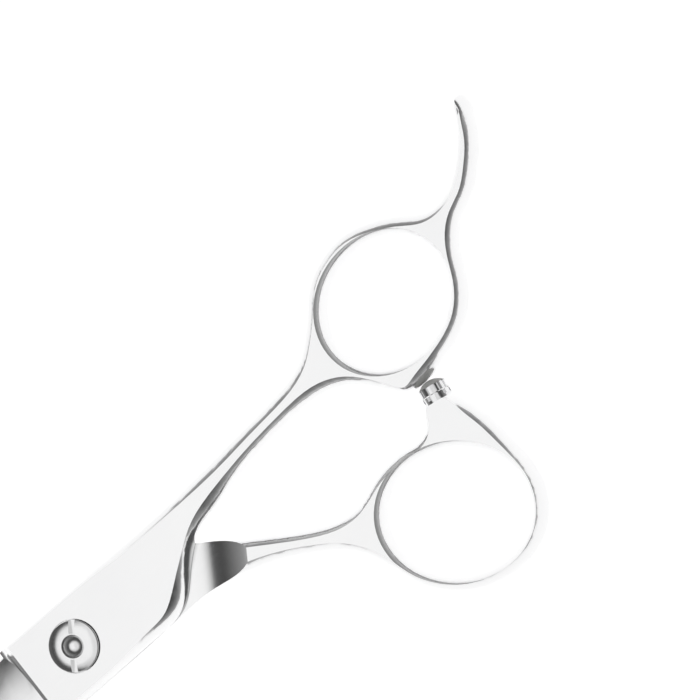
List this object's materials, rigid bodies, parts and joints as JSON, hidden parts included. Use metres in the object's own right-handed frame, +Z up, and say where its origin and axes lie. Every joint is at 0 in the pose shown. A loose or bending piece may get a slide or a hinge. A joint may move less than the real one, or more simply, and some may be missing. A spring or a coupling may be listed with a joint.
{
  "type": "hair cutting shears",
  "caption": "Offset hair cutting shears: two polished steel halves on a ring-nut pivot, oval finger and thumb rings, curved finger rest and a screwed rubber bumper.",
  "frame": {"origin": "on the pivot axis, in the underside plane that the closed shears lie on", "axes": "+X from the pivot to the handles, +Y to the finger side, +Z up through the slotted pivot nut"},
  "size_m": [0.1781, 0.0634, 0.0074],
  "materials": {
    "polished_steel": "bright polished, very fine satin grain on the flats",
    "pivot_steel": "turned and polished",
    "nylon": "natural",
    "bronze": "satin",
    "plated_metal": "bright plated, knurled",
    "bumper_rubber": "translucent pale grey silicone, satin"
  },
  "bodies": {
    "thumb_side": {"thumb_half": "polished_steel", "pivot_bolt": "pivot_steel", "ride_washer": "nylon", "bumper_stud": "plated_metal", "bumper_lock_ring": "plated_metal"},
    "finger_side": {"finger_half": "polished_steel", "bearing_bush": "bronze", "thrust_washer": "nylon"},
    "nut": {"pivot_nut": "pivot_steel", "spring_washer": "pivot_steel"},
    "collar": {"bumper_collar": "plated_metal", "bumper_pad": "bumper_rubber"}
  },
  "joints": [
    {"name": "pivot", "type": "hinge", "parent": "thumb_side", "child": "finger_side", "pos_m": [0, 0, 0.003], "axis": [0, 0, 1], "range_deg": [0, 100]},
    {"name": "tension_adjust", "type": "hinge", "parent": "thumb_side", "child": "nut", "pos_m": [0, 0, 0.006], "axis": [0, 0, 1], "range_deg": [-45, 45]},
    {"name": "bumper_turn", "type": "hinge", "parent": "thumb_side", "child": "collar", "pos_m": [0.07277, -0.0083, 0.003], "axis": [0.1633, 0.9866, 0], "range_deg": [-180, 0]}
  ]
}
